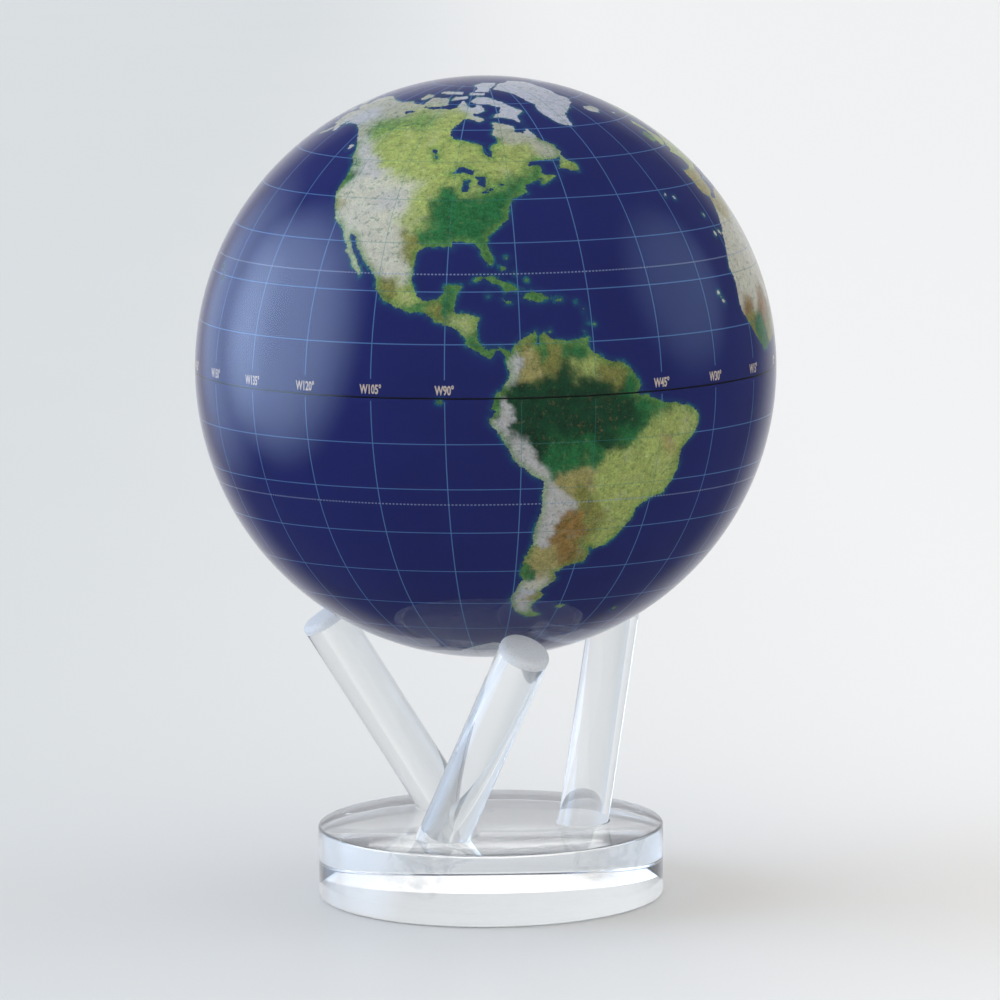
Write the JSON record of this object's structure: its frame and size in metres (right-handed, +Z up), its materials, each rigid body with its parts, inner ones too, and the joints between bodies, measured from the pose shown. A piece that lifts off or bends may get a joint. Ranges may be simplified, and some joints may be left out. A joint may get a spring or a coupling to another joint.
{
  "type": "desktop globe on stand",
  "caption": "Clear liquid-filled ball with a printed world globe turning inside by light power, resting loose on leaning clear rods set in a round clear base.",
  "frame": {"origin": "centre of the base's underside, on the table", "axes": "+Z up through the centres of the base and the ball; +X to the right and -Y towards a viewer who sees the Americas"},
  "size_m": [0.1142, 0.1142, 0.1622],
  "materials": {
    "clear_acrylic": "polished",
    "clear_fluid": "gloss",
    "plug_plastic": "satin",
    "map_print": "satin",
    "dark_plastic": "matte",
    "pale_plastic": "matte",
    "ballast_iron": "matte",
    "bright_steel": "satin",
    "yoke_brass": "satin",
    "copper_wire": "satin",
    "solar_cell": "gloss",
    "board_green": "satin",
    "chip_black": "matte",
    "capacitor_sleeve": "satin",
    "magnet_coat": "satin",
    "jewel": "polished",
    "lead_red": "satin",
    "lead_black": "satin"
  },
  "bodies": {
    "stand": {"stand_base": "clear_acrylic", "stand_rod_1": "clear_acrylic", "stand_rod_2": "clear_acrylic", "stand_rod_3": "clear_acrylic"},
    "ball": {"outer_shell_upper": "clear_acrylic", "outer_shell_lower": "clear_acrylic", "fill_plug": "plug_plastic", "float_fluid": "clear_fluid"},
    "inner_globe": {"map_shell_north": "map_print", "map_shell_south": "map_print", "equator_joint_ring": "dark_plastic", "ballast_weight": "ballast_iron", "drive_deck": "dark_plastic", "deck_screw_1": "bright_steel", "deck_screw_2": "bright_steel", "deck_screw_3": "bright_steel", "cell_frame": "dark_plastic", "solar_cell_1": "solar_cell", "solar_cell_2": "solar_cell", "solar_cell_3": "solar_cell", "solar_cell_4": "solar_cell", "solar_cell_5": "solar_cell", "solar_cell_6": "solar_cell", "solar_cell_top": "solar_cell", "control_board": "board_green", "storage_capacitor": "capacitor_sleeve", "driver_chip": "chip_black", "field_sensor": "chip_black", "cell_lead_positive": "lead_red", "cell_lead_negative": "lead_black", "coil_bobbin_1": "pale_plastic", "drive_coil_1": "copper_wire", "coil_bobbin_2": "pale_plastic", "drive_coil_2": "copper_wire", "coil_bobbin_3": "pale_plastic", "drive_coil_3": "copper_wire", "bearing_cup_upper": "jewel", "bearing_cup_lower": "jewel", "rotor_yoke": "yoke_brass"},
    "compass_rotor": {"rotor_shaft": "bright_steel", "magnet_carrier": "dark_plastic", "compass_magnet_1": "magnet_coat", "compass_magnet_2": "magnet_coat"}
  },
  "joints": [
    {"name": "lift_off", "type": "slide", "parent": "stand", "child": "ball", "axis": [0, 0, 1], "range_m": [0, 0.06]},
    {"name": "globe_spin", "type": "hinge", "parent": "ball", "child": "inner_globe", "pos_m": [0, 0, 0.1051], "axis": [0, 0, 1], "continuous": true},
    {"name": "compass_turn", "type": "hinge", "parent": "inner_globe", "child": "compass_rotor", "pos_m": [0, 0, 0.1051], "axis": [0, 0, 1], "continuous": true}
  ],
  "couplings": [
    {"joint": "compass_turn", "follows": "globe_spin", "ratio": -1}
  ]
}
